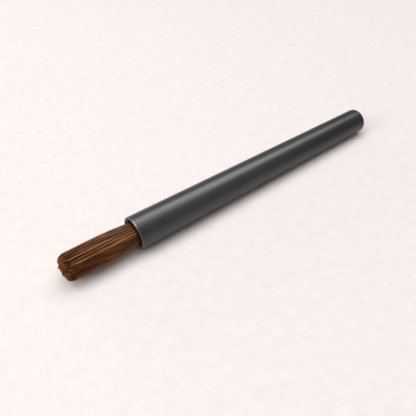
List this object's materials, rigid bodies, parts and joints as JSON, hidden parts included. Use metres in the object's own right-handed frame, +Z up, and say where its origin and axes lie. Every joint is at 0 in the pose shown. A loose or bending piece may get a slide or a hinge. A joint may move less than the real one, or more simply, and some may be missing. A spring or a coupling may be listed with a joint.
{
  "type": "calligraphy brush",
  "caption": "Calligraphy brush lying on its side: a tapered satin charcoal tube, closed at the rear, with a short, blunt tuft of brown hair set in its open mouth.",
  "frame": {"origin": "middle of the bounding box's bottom, on the surface that the brush lies on", "axes": "+X from the tuft to the closed rear end, +Z up from the surface"},
  "size_m": [0.1506, 0.013, 0.013],
  "materials": {
    "charcoal_tube": "satin",
    "black_cup": "matte",
    "amber_resin": "gloss",
    "thread": "matte",
    "outer_hair": "satin",
    "core_hair": "satin"
  },
  "bodies": {
    "handle": {"handle_tube": "charcoal_tube", "socket_cup": "black_cup", "root_resin": "amber_resin", "root_binding": "thread", "core_binding": "thread", "outer_hair_root": "outer_hair", "core_hair_root": "core_hair"},
    "tuft": {"outer_hair": "outer_hair", "core_hair": "core_hair"}
  },
  "joints": [
    {"name": "tuft_bend", "type": "hinge", "parent": "handle", "child": "tuft", "pos_m": [-0.04766, 0, 0.00651], "axis": [0, 0, 1], "range_deg": [-30, 30], "stiffness_Nm_per_rad": 0.025}
  ]
}
